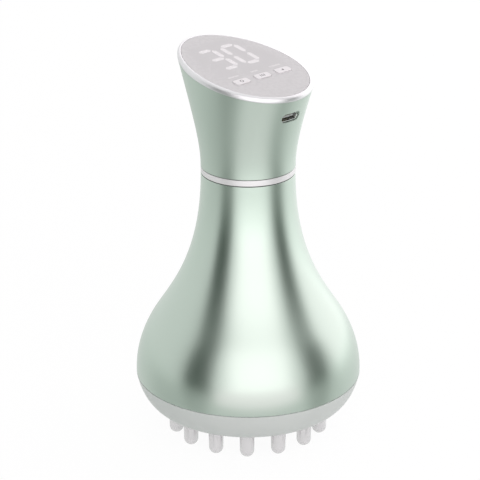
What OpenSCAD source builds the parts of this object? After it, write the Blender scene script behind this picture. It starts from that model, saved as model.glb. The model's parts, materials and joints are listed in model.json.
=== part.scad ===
// Hand-held body massager: a bell-shaped body on round-ended pins, with a
// slanting control panel at the top. Millimetres, +Z up. The origin lies on
// the axis, level with the tips of the pins. The front, where the charging
// inlet is, faces -Y.

/* [Pins] */
// Number of massage pins in the ring
pin_count = 15; // [9:1:15]
// Distance from the edge of the flat underside to the middle of a pin
pin_edge = 7; // [6.5:0.1:9]
// How far the pins stand out of the underside
pin_out = 12; // [9:0.5:16]
// Radius of a pin at its root
pin_root_r = 3.1; // [2.6:0.05:3.3]
// Radius of a pin at its round end
pin_tip_r = 2.9; // [2.2:0.05:3]
// Turn of the pin ring about the axis, in degrees
pin_turn = 15.7; // [0:0.1:24]
// Radius of the pin's head inside the dish
pin_head_r = 3.9; // [3.5:0.1:4.2]
// Thickness of the pin's head
pin_head_t = 1.1; // [0.8:0.1:1.6]

/* [Dish] */
// Height from the dish's underside to the lower edge of the bell
dish_h = 12.9; // [11:0.1:16]
// How far the dish draws in, from the bell's lower edge to its flat underside
dish_in = 8.1; // [6:0.1:10]
// Wall and floor of the dish
dish_wall = 2.2; // [1.8:0.1:2.6]
// Height of the skirt that goes up inside the bell
skirt_h = 2.6; // [2:0.1:5]
// Thickness of the skirt
skirt_t = 1.75; // [1.4:0.05:2.4]
// Thickness of the gasket between dish and bell
seal_t = 0.2; // [0.15:0.05:0.6]

/* [Bell] */
// Outside radius at the bell's lower edge
belly_r = 46; // [45:0.5:50]
// Height of the bell
bell_h = 86.1; // [80:0.5:95]
// Radius where the outline turns from bulging to hollow
shoulder_r = 39.2; // [37:0.2:41]
// Height of that turn above the lower edge
shoulder_h = 23.9; // [22:0.2:28]
// Lean of the outline at that turn, in degrees
shoulder_lean = 31; // [27:1:35]
// Outside radius of the neck
neck_r = 18.9; // [18.6:0.1:21]
// Wall of the two green shells
wall = 2; // [1.6:0.1:2.2]

/* [Neck band] */
// Height of the pale band round the neck
band_h = 2.4; // [1.6:0.1:5]
// Thickness of the gasket on each side of the band
gasket_t = 0.3; // [0.2:0.05:0.6]
// How far the gaskets lie back from the surface
gasket_back = 0.35; // [0.2:0.05:0.8]
// Thickness of the joining tube behind the band
sleeve_t = 1.6; // [1.2:0.1:1.8]
// How far the joining tube reaches into each shell
sleeve_reach = 8; // [5:0.5:12]

/* [Head] */
// Height of the panel's middle above the band
head_h = 39.9; // [36:0.1:46]
// Slope of the panel, in degrees
slope = 11; // [6:0.5:14]
// How fast the head widens, far above the neck
flare = 0.29; // [0.22:0.005:0.3]
// Height over which the widening sets in
flare_bend = 14.5; // [8:0.5:15]
// Share by which the head's top is longer and narrower than round
oval = 0.13; // [0:0.01:0.14]
// Height at which the head is that far from round
oval_h = 44; // [40:1:50]

/* [Rim and panel] */
// Height of the silver rim, square to the panel
rim_h = 2; // [1.9:0.1:3.2]
// How far the rim's outer edge rounds inwards
rim_round = 1.6; // [0.8:0.05:1.6]
// Width of the flat land on top of the rim
rim_land = 0.3; // [0.2:0.05:0.6]
// Width of the ledge that the panel lies on
rim_ledge = 2; // [1.4:0.1:2.4]
// How far the rim's spigot reaches into the head
spigot_h = 1.6; // [1:0.1:2]
// Thickness of the spigot
spigot_t = 1; // [0.6:0.1:1.4]
// Thickness of the panel
panel_t = 1.3; // [1.2:0.1:1.7]

/* [Figures] */
// Width of a seven-segment figure
figure_w = 9.4; // [7:0.1:9.5]
// Height of a seven-segment figure
figure_h = 18; // [14:0.1:18]
// Width of a segment
segment_w = 2.2; // [1.2:0.1:2.4]
// Distance between the two figures' middles
figure_pitch = 11.7; // [10.5:0.1:12]
// Depth of the light windows in the panel
window_t = 0.5; // [0.3:0.05:0.8]

/* [Keys] */
// Width of a key
key_w = 7.4; // [6:0.1:8]
// Length of a key along the slope
key_l = 3.4; // [3:0.1:4.5]
// Corner radius of a key
key_round = 1; // [0.6:0.05:1.4]
// Distance between neighbouring keys
key_pitch = 11; // [10.4:0.1:11.5]
// Distance of the key row from the lower of the panel's posts
key_up = 9.3; // [7.5:0.1:9.5]
// How far a key stands above the panel
key_proud = 0.35; // [0.2:0.05:0.6]
// Travel of a key
key_travel = 0.5; // [0.3:0.05:0.6]
// Gap round a key
key_gap = 0.15; // [0.1:0.01:0.25]

/* [Inlet] */
// Width of the metal inlet shell
inlet_w = 8.94; // [8.9:0.02:9]
// Height of the metal inlet shell
inlet_h = 3.26; // [3.2:0.02:3.3]
// Length of the metal inlet shell
inlet_l = 7.35; // [6.5:0.05:9]
// Wall of the metal inlet shell
inlet_t = 0.3; // [0.2:0.05:0.35]
// Height of the panel's middle above the inlet's
inlet_drop = 14.7; // [14.5:0.1:17]
// Gap between the inlet and the slot in the head
inlet_gap = 0.23; // [0.15:0.01:0.4]
// How far the inlet's mouth lies behind the surface
inlet_back = 1.5; // [1:0.1:1.8]

/* [Battery] */
// Radius of the cell
cell_r = 9.2; // [9.1:0.05:9.3]
// Length of the cell
cell_l = 65; // [64:0.1:66]
// Wall of the battery cradle
cradle_t = 1.5; // [1.2:0.1:1.8]
// Thickness of the frame's plate and deck
frame_t = 2.4; // [2:0.1:3]

/* [Motor] */
// Radius of the motor's can
motor_r = 12.2; // [11.5:0.1:14]
// Height of the motor's can
motor_h = 24; // [20:0.5:25]
// Radius of the shaft
shaft_r = 1.15; // [0.9:0.05:1.5]
// Radius of the eccentric weight
weight_r = 9; // [7:0.1:9.5]
// Height of the eccentric weight
weight_h = 6; // [4:0.1:6.5]
// Thickness of the motor mount
mount_t = 2.5; // [2:0.1:4]

/* [Boards and warm plate] */
// Thickness of the circuit boards
board_t = 1.2; // [1:0.1:1.6]
// Depth of the control board's face below the panel's face
board_deep = 6.3; // [6.2:0.1:7]
// Radius of the warm plate's face
warm_r = 13; // [10:0.1:13.5]
// How far the warm plate stands below the dish
warm_out = 0.4; // [0.2:0.05:0.8]

/* [Hidden] */
$fn = 96;

// Clearances
fit = 0.1;            // parts that drop into one another
press = 0.05;         // a pin or screw in its hole
loose = 0.2;          // a screw through a plate, and the cell in its cradle
wall_gap = 0.3;       // a plate inside a shell
edge_gap = 0.8;       // a board's or boss's edge from its neighbour
running = 0.05;       // a turning shaft in its bush
hold = 0.01;          // a part fixed on its shaft
stem_gap = 0.08;      // a key's stem in its switch
far = 400;            // longer than any cut needs

// Colours
mint = [0.66, 0.76, 0.71];
silver = [0.86, 0.87, 0.87];
pale_grey = [0.78, 0.78, 0.77];
frosted = [0.86, 0.85, 0.87];
panel_grey = [0.8, 0.8, 0.8];
white = [0.95, 0.95, 0.95];
charcoal = [0.2, 0.2, 0.21];
board_green = [0.1, 0.35, 0.2];
steel = [0.7, 0.7, 0.72];
brass = [0.75, 0.6, 0.3];
sleeve_blue = [0.35, 0.5, 0.7];

// Heights, from the tips of the pins upwards
dish_floor_r = belly_r - dish_in;
pin_ring_r = dish_floor_r - pin_edge;
floor_z = pin_out;
floor_top = floor_z + dish_wall;
seam_z = floor_z + dish_h;
dish_top = seam_z - seal_t;
skirt_top = seam_z + skirt_h;
mount_top = skirt_top + mount_t;
bell_top = seam_z + bell_h;
band_z = bell_top + gasket_t;
head_z = band_z + band_h + gasket_t;
panel_z = head_z + head_h;
inlet_z = panel_z - inlet_drop;
deck_top = inlet_z - inlet_h / 2 - board_t;
deck_z = deck_top - frame_t;
tab_t = 0.3;
cell_top = deck_z - tab_t;
cell_z = cell_top - cell_l;
plate_top = cell_z - tab_t;
plate_z = plate_top - frame_t;

// Points round and up the head
head_sides = 60;
head_steps = 9;

// Outline of the bell, as two cubic curves that meet at the shoulder
belly_lean = 1.7;
shoulder = [shoulder_r, seam_z + shoulder_h];
shoulder_dir = [-sin(shoulder_lean), cos(shoulder_lean)];
belly = [
    [belly_r, seam_z],
    [belly_r, seam_z] + shoulder_h * 0.363 * [sin(belly_lean), cos(belly_lean)],
    shoulder - shoulder_h * 0.341 * shoulder_dir,
    shoulder
];
waist = [
    shoulder,
    shoulder + (bell_h - shoulder_h) * 0.195 * shoulder_dir,
    [neck_r, bell_top - (bell_h - shoulder_h) * 0.587],
    [neck_r, bell_top]
];
bell_steps = 14;
bell_out = concat(curve(belly, bell_steps), after_first(curve(waist, bell_steps)));
bell_in = concat(
    [[belly_r - wall, seam_z]],
    after_first(inset(belly, bell_steps, wall)),
    after_first(inset(waist, bell_steps, wall))
);

// Outline of the dish's side, from its upper edge down to the flat
side = [
    [belly_r, dish_top],
    [belly_r - dish_h * 0.16, dish_top - dish_h * 0.8],
    [dish_floor_r + dish_h * 0.064, floor_z],
    [dish_floor_r, floor_z]
];
side_steps = 12;
skirt_r = belly_r - wall - wall_gap;
skirt_in = skirt_r - skirt_t;

// Places of bosses and screws
boss_r = 3;
boss_clear = 1.5;
boss_ring_r = skirt_in - boss_r - boss_clear;
boss_h = 24;
boss_count = 4;
boss_turn = 45;
frame_boss_r = 2.8;
frame_r = min(radius_at(bell_in, plate_top), radius_at(bell_in, plate_z)) - wall_gap;
frame_ring_r = frame_r - frame_boss_r - edge_gap;
frame_boss_h = 10;
frame_screw_count = 3;
frame_screw_turn = 30;
stay_r = 3.2;
stay_ring_r = 22;
stay_count = 3;
stay_turn = 90;
pin_head_top = floor_top + pin_head_t;
pin_flat_r = 0.7;
warm_flange = 1.6;
film_t = 0.3;
film_edge = 1.2;
film_top = pin_head_top + film_t;
screw_r = 1.05;
screw_head_r = 2.5;
screw_head_t = 1.3;
sunk = screw_head_t + fit;
mount_bite = 8;
frame_bite = 7;
mount_screw_l = mount_t + mount_bite;
frame_screw_l = frame_t + frame_bite;
base_screw_l = 10.6;
small_screw_r = 0.9;
small_head_r = 1.7;
small_head_t = 1.1;
small_screw_l = 5;

// Parts of the motor
can_t = 0.8;
can_floor_t = 1.2;
cap_t = 2.4;
cap_spigot_h = 1.6;
bush_r = 3;
bush_l = 3.8;
motor_top = mount_top + motor_h;
cap_top = motor_top + cap_t;
bush_low_z = mount_top - 1.4;
bush_high_z = motor_top - 1;
shaft_out = 0.4;
weight_drop = 1.8;
weight_top = skirt_top - weight_drop;
weight_z = weight_top - weight_h;
shaft_z = weight_z - shaft_out;
shaft_top = bush_high_z + bush_l + shaft_out;
weight_hub_r = 3.2;
magnet_t = 2.2;
magnet_in_r = motor_r - can_t - press - magnet_t;
air_gap = 0.6;
armature_r = magnet_in_r - air_gap;
magnet_clear = 4;
magnet_z = mount_top + magnet_clear;
magnet_h = motor_h - 2 * magnet_clear;
magnet_gap = 5;
motor_screw_x = 8.5;
motor_hole_r = bush_r + 3;

// Places on the control panel, in the slope's own plane, X and up the slope
board_edge = 1.2;
board_low = board_deep + board_t;
board_outline = flat_row(board_low, wall + board_edge);
post_r = 1.7;
side_post_x = max([for (p = board_outline) p[0]]) - small_head_r - 2.5;
high_post_v = max([for (p = board_outline) p[1]]) - small_head_r - fit;
low_post_v = min([for (p = board_outline) p[1]]) + small_head_r + 4.6;
posts = [[side_post_x, -1], [-side_post_x, -1], [0, high_post_v], [0, low_post_v]];
block_edge = 0.1;
block_high = high_post_v - post_r - wall_gap;
figure_drop = 0.6;
figure_v = block_high - figure_drop - figure_h / 2;
block_low = figure_v - figure_h / 2 - block_edge;
block_w = figure_pitch + figure_w + 14 * block_edge;
key_v = low_post_v + key_up;
bar_l = 1;
bar_gap = 2.5;
bars_v = key_v + key_l / 2 + bar_l / 2 + bar_gap;
bar_places = [[-key_pitch, 5.6], [0, 3.8], [key_pitch, 5.8]];
switch_w = 5;
switch_t = 1.7;
stem_r = 1.1;
switch_floor = 0.1;
stem_end = board_deep - switch_floor - 1.2 * key_travel;
flange_edge = 0.6;
flange_t = 0.75;

// Charging board and its place
deck_w = 14;
deck_front = 13;
deck_back = 7;
deck_screw = [5, 10.8];
deck_boss_r = 2;
board_back = 4;
inlet_mouth_y = -(head_b(inlet_z) - inlet_back);
inlet_end_y = inlet_mouth_y + inlet_l;
lip = 0.75;
lip_deep = 0.7;
plug_l = 1.6;
tongue_w = 6.7;
tongue_t = 0.7;
tongue_back = 1;
board_front_y = -((head_b(deck_top) - wall)
    * sqrt(1 - pow(deck_w / 2 / (head_a(deck_top) - wall), 2)) - 2 * loose);

// Wires
lead_r = 0.6;
lead_joint_r = 0.66;
lead_x = 12.8;
lead_y = 1.5;
cell_lead_x = 2.2;
cell_lead_y = 12.6;
lead_hole_r = 3;
lead_rise = 2;
lead_start_x = 6;
heater_lead_x = motor_r + 2 * lead_hole_r;
cradle_mouth = 12;

// A point on a cubic curve, and the curve as a list of points
function cubic(c, t) = pow(1 - t, 3) * c[0] + 3 * pow(1 - t, 2) * t * c[1]
    + 3 * (1 - t) * t * t * c[2] + pow(t, 3) * c[3];
function cubic_dir(c, t) = pow(1 - t, 2) * (c[1] - c[0])
    + 2 * (1 - t) * t * (c[2] - c[1]) + t * t * (c[3] - c[2]);
function curve(c, n) = [for (i = [0:n]) cubic(c, i / n)];

// The same curve, moved sideways by w, to the left of its direction
function inset(c, n, w) = [
    for (i = [0:n])
        let (d = cubic_dir(c, i / n))
        cubic(c, i / n) + w * [-d[1], d[0]] / norm(d)
];
function after_first(list) = [for (i = [1:len(list) - 1]) list[i]];
function backwards(list) = [for (i = [len(list) - 1:-1:0]) list[i]];
function radius_at(outline, z) = lookup(z, [for (p = outline) [p[1], p[0]]]);

// Half width (X) and half length (Y) of the head at height z
function rise(z) = max(0, z - head_z);
function head_r(z) = neck_r + flare * (sqrt(pow(rise(z), 2) + pow(flare_bend, 2)) - flare_bend);
function ovalness(z) = oval * pow(rise(z) / oval_h, 2);
function head_a(z) = head_r(z) * (1 - ovalness(z));
function head_b(z) = head_r(z) * (1 + ovalness(z));

// Height at which the head's side, moved in by inset, meets a plane that is
// parallel to the panel and crosses the axis at height axis_z
function meet_z(angle, axis_z, inset, tries = 7) = tries == 0 ? axis_z :
    let (z = meet_z(angle, axis_z, inset, tries - 1))
    axis_z + tan(slope) * (head_b(z) - inset) * sin(angle);

// One closed row of points round the head, on a plane at the given depth
// below the panel's face, measured square to it
function head_row(depth, inset) = [
    for (i = [0:head_sides - 1])
        let (angle = 360 * i / head_sides)
        let (z = meet_z(angle, panel_z - depth / cos(slope), inset))
        [(head_a(z) - inset) * cos(angle), (head_b(z) - inset) * sin(angle), z]
];

// A row part of the way from the neck's flat lower edge to such a plane
function part_row(share, depth, inset) = [
    for (p = head_row(depth, inset))
        let (z = head_z + share * (p[2] - head_z))
        let (angle = atan2(p[1] / (head_b(p[2]) - inset), p[0] / (head_a(p[2]) - inset)))
        [(head_a(z) - inset) * cos(angle), (head_b(z) - inset) * sin(angle), z]
];

// The row in the slope's own plane, and back into space at a depth
function flat_row(depth, inset) = [
    for (p = head_row(depth, inset))
        [p[0], p[1] / cos(slope) - depth * tan(slope)]
];
function lift_row(row, depth) = [
    for (p = row)
        [p[0],
         p[1] * cos(slope) + depth * sin(slope),
         panel_z + p[1] * sin(slope) - depth * cos(slope)]
];

// A ring-shaped solid through closed rows of points, the last joined to the
// first
module ring_through(rows) {
    n = len(rows[0]);
    m = len(rows);
    points = [for (row = rows, p = row) p];
    faces = [
        for (i = [0:m - 1], j = [0:n - 1])
            let (a = i * n + j)
            let (b = i * n + (j + 1) % n)
            let (c = ((i + 1) % m) * n + (j + 1) % n)
            let (d = ((i + 1) % m) * n + j)
            each [[a, d, c], [a, c, b]]
    ];
    polyhedron(points, faces, convexity = 6);
}

module on_slope() {
    translate([0, 0, panel_z]) rotate([slope, 0, 0]) children();
}

module slab(low, high) {
    translate([0, 0, low]) linear_extrude(high - low) children();
}

module rounded(w, l, r) {
    square([w - 2 * r, l], center = true);
    square([w, l - 2 * r], center = true);
    for (x = [-1, 1], y = [-1, 1])
        translate([x * (w / 2 - r), y * (l / 2 - r)]) circle(r);
}

module slot(w, h) {
    square([w - h, h], center = true);
    for (x = [-1, 1]) translate([x * (w - h) / 2, 0]) circle(d = h);
}

// A shape drawn in X and Z, pushed out along Y from front to back
module along_y(front, back, z) {
    translate([0, back, z]) rotate([90, 0, 0]) linear_extrude(back - front) children();
}

module tube(outer, inner, low, high) {
    slab(low, high) difference() {
        circle(outer);
        circle(inner);
    }
}

module around(count, radius, turn = 0) {
    for (i = [0:count - 1])
        rotate(turn + 360 * i / count) translate([radius, 0, 0]) children();
}

// A wire along straight runs, with round joints
module wire(points) {
    for (i = [0:len(points) - 2]) {
        run = points[i + 1] - points[i];
        translate(points[i])
            rotate([0, acos(run[2] / norm(run)), atan2(run[1], run[0])])
            cylinder(r = lead_r, h = norm(run), $fn = 24);
    }
    for (i = [1:len(points) - 2]) translate(points[i]) sphere(lead_joint_r, $fn = 24);
}

// Height of the control board's underside above a point of the base plane
function board_under(y) = panel_z - board_low / cos(slope) + y * tan(slope);

function pin_name(i) = str("pin_", i < 10 ? "0" : "", i);
function pin_angle(i) = 90 + pin_turn + 360 * (i - 1) / pin_count;

// Shells

module bell_solid() {
    rotate_extrude() polygon(concat([[0, seam_z]], bell_out, [[0, bell_top]]));
}

module boss(r, low, h) {
    tube(r, screw_r + press, low, low + h);
}

module body_shell() {
    color(mint) union() {
        rotate_extrude() polygon(concat(bell_out, backwards(bell_in)));
        intersection() {
            bell_solid();
            union() {
                around(boss_count, boss_ring_r, boss_turn) boss(boss_r, mount_top, boss_h);
                around(frame_screw_count, frame_ring_r, frame_screw_turn)
                    boss(frame_boss_r, plate_top, frame_boss_h);
            }
        }
    }
}

module head_shell() {
    rows = concat(
        [for (i = [0:head_steps]) part_row(i / head_steps, rim_h, 0)],
        [for (i = [head_steps:-1:0]) part_row(i / head_steps, rim_h, wall)]
    );
    slot_w = inlet_w + 2 * inlet_gap;
    slot_h = inlet_h + 2 * inlet_gap;
    color(mint) difference() {
        ring_through(rows);
        along_y(-far, 0, inlet_z) slot(slot_w, slot_h);
        along_y(-far, lip_deep - head_b(inlet_z), inlet_z)
            slot(slot_w + 2 * lip, slot_h + 2 * lip);
    }
}

module neck_ring() {
    color(silver) tube(neck_r, neck_r - wall, band_z, band_z + band_h);
}

module neck_gaskets() {
    color(charcoal) {
        tube(neck_r - gasket_back, neck_r - wall, bell_top, band_z);
        tube(neck_r - gasket_back, neck_r - wall, head_z - gasket_t, head_z);
    }
}

module neck_sleeve() {
    outer = neck_r - wall - fit;
    color(charcoal)
        tube(outer, outer - sleeve_t, bell_top - sleeve_reach, head_z + sleeve_reach);
}

module base_cover() {
    inner = [
        for (p = backwards(inset(side, side_steps, -dish_wall)))
            if (p[0] > dish_floor_r) [min(p[0], skirt_in), min(p[1], dish_top)]
    ];
    outline = concat(
        [[warm_r + fit, floor_z]],
        backwards(curve(side, side_steps)),
        [[skirt_r, dish_top], [skirt_r, skirt_top], [skirt_in, skirt_top]],
        backwards(inner),
        [[dish_floor_r, floor_top], [warm_r + fit, floor_top]]
    );
    color(pale_grey) difference() {
        union() {
            rotate_extrude() polygon(outline);
            around(stay_count, stay_ring_r, stay_turn) slab(floor_top, pin_head_top) circle(stay_r);
        }
        for (i = [1:pin_count])
            rotate(pin_angle(i)) translate([pin_ring_r, 0, 0])
                slab(0, seam_z) circle(pin_root_r + press);
        around(stay_count, stay_ring_r, stay_turn) {
            slab(0, floor_z + sunk) circle(screw_head_r + wall_gap);
            slab(0, seam_z) circle(screw_r + loose);
        }
    }
}

module base_seal() {
    color(charcoal) tube(belly_r - gasket_back, belly_r - wall + fit, dish_top, seam_z);
}

// Slanting top

module top_bezel() {
    round_steps = 5;
    pocket = flat_row(0, rim_round + rim_land);
    opening = flat_row(0, rim_round + rim_land + rim_ledge);
    low = rim_h + spigot_h;
    inner = wall + 1.5 * fit;
    outer_in = inner + spigot_t;
    rows = concat(
        [head_row(rim_h, inner), head_row(rim_h, 0)],
        [
            for (i = [1:round_steps])
                let (a = 90 * i / round_steps)
                head_row(rim_h * (1 - sin(a)), rim_round * (1 - cos(a)))
        ],
        [
            lift_row(pocket, 0),
            lift_row(pocket, panel_t),
            lift_row(opening, panel_t),
            head_row(low, outer_in),
            head_row(low, inner)
        ]
    );
    color(silver) ring_through(rows);
}

module top_panel() {
    color(panel_grey) on_slope() difference() {
        union() {
            slab(-panel_t, 0) polygon(flat_row(0, rim_round + rim_land + fit));
            for (p = posts) translate(p) slab(-board_deep, -panel_t) circle(post_r);
        }
        for (p = posts)
            translate(p) slab(-far, -panel_t) circle(small_screw_r + press);
        for (k = [-1:1])
            translate([k * key_pitch, key_v])
                slab(-far, far)
                    rounded(key_w + 2 * key_gap, key_l + 2 * key_gap, key_round + key_gap);
        slab(-window_t, far) {
            windows(figure_left, -figure_pitch / 2);
            windows(figure_right, figure_pitch / 2);
            bars(0);
        }
    }
}

// Segments of a figure: name, middle, and whether it lies across
segment_step = figure_h / 2 - segment_w / 2;
segment_side = figure_w / 2 - segment_w / 2;
segments = [
    ["a", [0, segment_step], true],
    ["b", [segment_side, segment_step / 2], false],
    ["c", [segment_side, -segment_step / 2], false],
    ["d", [0, -segment_step], true],
    ["e", [-segment_side, -segment_step / 2], false],
    ["f", [-segment_side, segment_step / 2], false],
    ["g", [0, 0], true]
];
figure_left = ["a", "b", "g", "c", "d"];
figure_right = ["a", "b", "c", "d", "e", "f"];
segment_gap = 0.45;

// One segment, a bar with pointed ends
module segment(long, less) {
    h = segment_w / 2 - less;
    e = long / 2 - segment_gap - less;
    polygon([[-e, 0], [h - e, h], [e - h, h], [e, 0], [e - h, -h], [h - e, -h]]);
}

module windows(figure, x, less = 0) {
    translate([x, figure_v])
        for (s = segments)
            if (len([for (name = figure) if (name == s[0]) name]) > 0)
                translate(s[1]) rotate(s[2] ? 0 : 90)
                    segment(s[2] ? 2 * segment_side : segment_step, less);
}

module bars(less) {
    for (b = bar_places)
        translate([b[0], bars_v])
            square([b[1] - 2 * less, bar_l - 2 * less], center = true);
}

module digit_left() {
    color(white) on_slope() slab(-window_t, 0) windows(figure_left, -figure_pitch / 2, hold);
}

module digit_right() {
    color(white) on_slope() slab(-window_t, 0) windows(figure_right, figure_pitch / 2, hold);
}

module indicator_bars() {
    color(white) on_slope() slab(-window_t, 0) bars(hold);
}

module key(place) {
    color(white) on_slope() translate([place * key_pitch, key_v]) difference() {
        union() {
            slab(-panel_t - press, key_proud) rounded(key_w, key_l, key_round);
            slab(-panel_t - press - flange_t, -panel_t - press)
                rounded(key_w + 2 * flange_edge, key_l + 2 * flange_edge, key_round);
            slab(-stem_end, -panel_t - press - flange_t) circle(stem_r);
        }
        slab(key_proud - press, far) key_mark(place);
    }
}

// Plain marks sunk in the keys: a ring, three bars and a spot
module key_mark(place) {
    if (place < 0) difference() {
        circle(0.85);
        circle(0.55);
    }
    if (place == 0) for (x = [-0.9, 0, 0.9]) translate([x, 0]) square([0.35, 1.5], center = true);
    if (place > 0) circle(0.5);
}

module key_left() key(-1);
module key_middle() key(0);
module key_right() key(1);

module key_switches() {
    low = -board_deep;
    color(charcoal) on_slope() for (k = [-1:1])
        translate([k * key_pitch, key_v]) difference() {
            slab(low, low + switch_t) square(switch_w, center = true);
            slab(low + switch_floor, 0) circle(stem_r + stem_gap);
        }
}

module display_block() {
    color(white) on_slope() slab(-board_deep, -panel_t)
        translate([-block_w / 2, block_low]) square([block_w, block_high - block_low]);
}

module main_board() {
    color(board_green) on_slope() slab(-board_low, -board_deep) difference() {
        polygon(board_outline);
        for (p = posts) translate(p) circle(small_screw_r + loose);
    }
}

module small_screw() {
    slab(-small_head_t, 0) circle(small_head_r);
    slab(0, small_screw_l) circle(small_screw_r);
}

module board_screws() {
    color(steel) {
        on_slope() for (p = posts)
            translate([p[0], p[1], -board_low]) small_screw();
        for (x = [-1, 1])
            translate([x * deck_screw[0], -deck_screw[1], deck_top + board_t])
                mirror([0, 0, 1]) small_screw();
    }
}

// Charging inlet

module usb_shell() {
    color(steel) along_y(inlet_mouth_y, inlet_end_y, inlet_z) difference() {
        slot(inlet_w, inlet_h);
        slot(inlet_w - 2 * inlet_t, inlet_h - 2 * inlet_t);
    }
}

module usb_tongue() {
    plug_y = inlet_end_y - plug_l;
    thin = 2 * (inlet_t + hold);
    color(charcoal) {
        along_y(plug_y, inlet_end_y, inlet_z) slot(inlet_w - thin, inlet_h - thin);
        along_y(inlet_mouth_y + tongue_back, plug_y, inlet_z)
            square([tongue_w, tongue_t], center = true);
    }
}

module charge_board() {
    color(board_green) slab(deck_top, deck_top + board_t) difference() {
        translate([-deck_w / 2, board_front_y]) square([deck_w, -board_back - board_front_y]);
        for (x = [-1, 1])
            translate([x * deck_screw[0], -deck_screw[1]]) circle(small_screw_r + loose);
    }
}

// Frame and battery

module inner_frame() {
    outer = cell_r + loose + cradle_t;
    boss_low = deck_z - small_screw_l;
    color(pale_grey) difference() {
        union() {
            slab(plate_z, plate_top) circle(frame_r);
            slab(plate_top, deck_top) circle(outer);
            slab(deck_z, deck_top)
                translate([-deck_w / 2, -deck_front]) square([deck_w, deck_front + deck_back]);
            for (x = [-1, 1])
                translate([x * deck_screw[0], -deck_screw[1], 0])
                    slab(boss_low, deck_top) circle(deck_boss_r);
        }
        slab(plate_top, deck_z) circle(cell_r + loose);
        translate([-cradle_mouth / 2, 0, plate_top]) cube([cradle_mouth, far, deck_z - plate_top]);
        around(frame_screw_count, frame_ring_r, frame_screw_turn) slab(0, far) circle(screw_r + loose);
        for (x = [-1, 1]) {
            translate([x * lead_x, 0, 0]) slab(plate_z - 1, plate_top + 1) circle(lead_hole_r);
            translate([x * deck_screw[0], -deck_screw[1], 0])
                slab(boss_low, far) circle(small_screw_r + press);
        }
    }
}

module screw(low, long) {
    slab(low - screw_head_t, low) circle(screw_head_r);
    slab(low, low + long) circle(screw_r);
}

module frame_screws() {
    color(steel) around(frame_screw_count, frame_ring_r, frame_screw_turn) screw(plate_z, frame_screw_l);
}

module battery_cell() {
    button_r = 3;
    button_h = 1;
    color(sleeve_blue) {
        slab(cell_z, cell_top - button_h) circle(cell_r);
        slab(cell_top - button_h, cell_top) circle(button_r);
    }
}

module battery_tabs() {
    tab_r = 4;
    tab_w = 3;
    reach = cell_lead_y + edge_gap;
    color(steel) {
        slab(plate_top, cell_z) {
            circle(tab_r);
            translate([cell_lead_x - tab_w / 2, 0]) square([tab_w, reach]);
        }
        slab(cell_top, deck_z) {
            circle(tab_r);
            translate([-cell_lead_x - tab_w / 2, 0]) square([tab_w, reach]);
        }
    }
}

// Motor

module motor_mount() {
    stay_z = pin_head_top + board_t;
    plate_r = min(radius_at(bell_in, skirt_top), radius_at(bell_in, mount_top)) - wall_gap;
    color(pale_grey) difference() {
        union() {
            slab(skirt_top, mount_top) circle(plate_r);
            around(stay_count, stay_ring_r, stay_turn) slab(stay_z, mount_top) circle(stay_r);
        }
        slab(0, far) circle(motor_hole_r);
        around(stay_count, stay_ring_r, stay_turn) slab(0, mount_top - 1) circle(screw_r + press);
        around(boss_count, boss_ring_r, boss_turn) slab(0, far) circle(screw_r + loose);
        for (x = [-1, 1])
            translate([x * motor_screw_x, 0, 0]) slab(0, far) circle(small_screw_r + loose);
        translate([heater_lead_x, 0, 0]) slab(0, far) circle(lead_hole_r);
    }
}

module mount_screws() {
    color(steel) around(boss_count, boss_ring_r, boss_turn) screw(skirt_top, mount_screw_l);
}

module motor_can() {
    color(steel) difference() {
        slab(mount_top, motor_top) circle(motor_r);
        slab(mount_top + can_floor_t, far) circle(motor_r - can_t);
        slab(0, far) circle(bush_r + hold);
        for (x = [-1, 1])
            translate([x * motor_screw_x, 0, 0]) slab(0, far) circle(small_screw_r + press);
    }
}

module motor_endcap() {
    color(charcoal) difference() {
        union() {
            slab(motor_top, cap_top) circle(motor_r);
            slab(motor_top - cap_spigot_h, motor_top) circle(motor_r - can_t - press);
        }
        slab(0, far) circle(bush_r + hold);
    }
}

module motor_magnets() {
    color(charcoal) difference() {
        tube(motor_r - can_t - press, magnet_in_r, magnet_z, magnet_z + magnet_h);
        translate([-far / 2, -magnet_gap / 2, 0]) cube([far, magnet_gap, far]);
    }
}

module motor_armature() {
    color(brass) tube(armature_r, shaft_r + hold, magnet_z, magnet_z + magnet_h);
}

module motor_bushes() {
    color(brass) for (z = [bush_low_z, bush_high_z])
        tube(bush_r, shaft_r + running, z, z + bush_l);
}

module motor_screws() {
    long = mount_t + can_floor_t;
    color(steel) for (x = [-1, 1]) translate([x * motor_screw_x, 0, skirt_top]) {
        slab(-small_head_t, 0) circle(small_head_r);
        slab(0, long) circle(small_screw_r);
    }
}

module motor_shaft() {
    color(steel) slab(shaft_z, shaft_top) circle(shaft_r);
}

module eccentric_weight() {
    color(brass) slab(weight_z, weight_z + weight_h) difference() {
        union() {
            circle(weight_hub_r);
            intersection() {
                circle(weight_r);
                translate([0, -far / 2]) square(far);
            }
        }
        circle(shaft_r + hold);
    }
}

// Underside

module contact_plate() {
    color(steel) {
        slab(floor_z - warm_out, floor_top) circle(warm_r);
        slab(floor_top, pin_head_top) circle(warm_r + warm_flange);
    }
}

module heater_film() {
    color(charcoal) slab(pin_head_top, film_top) circle(warm_r - film_edge);
}

module pin_board() {
    color(board_green) slab(pin_head_top, pin_head_top + board_t) difference() {
        circle(pin_ring_r + pin_head_r + edge_gap);
        circle(warm_r - film_edge + edge_gap);
        around(stay_count, stay_ring_r, stay_turn) circle(screw_r + wall_gap);
    }
}

module base_screws() {
    color(steel) around(stay_count, stay_ring_r, stay_turn) screw(floor_z + sunk, base_screw_l);
}

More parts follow.
